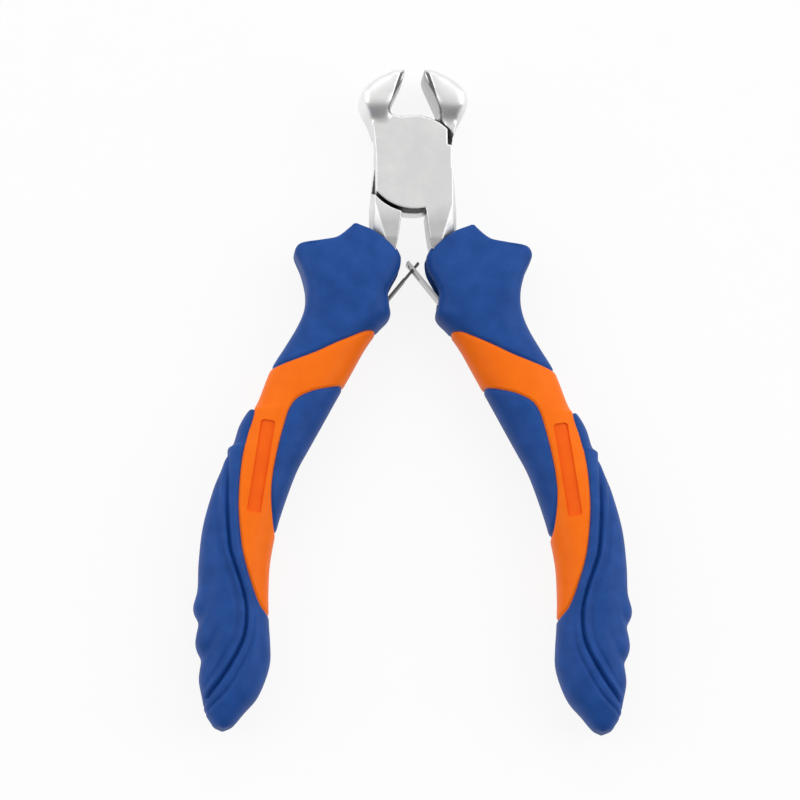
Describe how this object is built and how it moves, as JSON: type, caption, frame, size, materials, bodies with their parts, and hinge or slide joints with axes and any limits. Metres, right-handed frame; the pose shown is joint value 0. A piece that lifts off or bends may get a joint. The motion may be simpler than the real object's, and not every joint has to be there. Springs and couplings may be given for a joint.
{
  "type": "end cutting nippers",
  "caption": "Spring-opened end cutting nippers: broad pinching jaws on a riveted lap joint, crossed leaf springs, and curved blue and orange moulded grips with guards.",
  "frame": {"origin": "on the pivot axis, at the back face of the joint", "axes": "+Z along the pivot and out of the front face, +Y towards the jaws, +X to the right seen from the front"},
  "size_m": [0.0738, 0.1124, 0.012],
  "materials": {
    "forged_steel": "satin ground",
    "spring_steel": "rolled",
    "hard_orange": "satin moulded",
    "soft_blue": "matte moulded"
  },
  "bodies": {
    "front_lever": {"front_half": "forged_steel", "pivot_rivet": "forged_steel", "right_spring_pin": "spring_steel", "right_grip_core": "hard_orange", "right_grip_collar": "soft_blue", "right_grip_finger_pad": "soft_blue", "right_grip_palm_pad": "soft_blue"},
    "rear_lever": {"rear_half": "forged_steel", "left_spring_pin": "spring_steel", "left_grip_core": "hard_orange", "left_grip_collar": "soft_blue", "left_grip_finger_pad": "soft_blue", "left_grip_palm_pad": "soft_blue"},
    "right_leaf": {"right_spring_leaf": "spring_steel"},
    "left_leaf": {"left_spring_leaf": "spring_steel"}
  },
  "joints": [
    {"name": "jaw_pivot", "type": "hinge", "parent": "front_lever", "child": "rear_lever", "pos_m": [0, 0, 0], "axis": [0, 0, 1], "range_deg": [-5, 11.7], "stiffness_Nm_per_rad": 2},
    {"name": "right_leaf_swing", "type": "hinge", "parent": "front_lever", "child": "right_leaf", "pos_m": [0.00687, -0.02472, 0.004], "axis": [0, 0, 1], "range_deg": [-9.6, 4.2]},
    {"name": "left_leaf_swing", "type": "hinge", "parent": "rear_lever", "child": "left_leaf", "pos_m": [-0.00687, -0.02472, 0.004], "axis": [0, 0, 1], "range_deg": [-4.2, 9.6]}
  ],
  "couplings": [
    {"joint": "right_leaf_swing", "follows": "jaw_pivot", "ratio": -0.8},
    {"joint": "left_leaf_swing", "follows": "jaw_pivot", "ratio": 0.8}
  ]
}
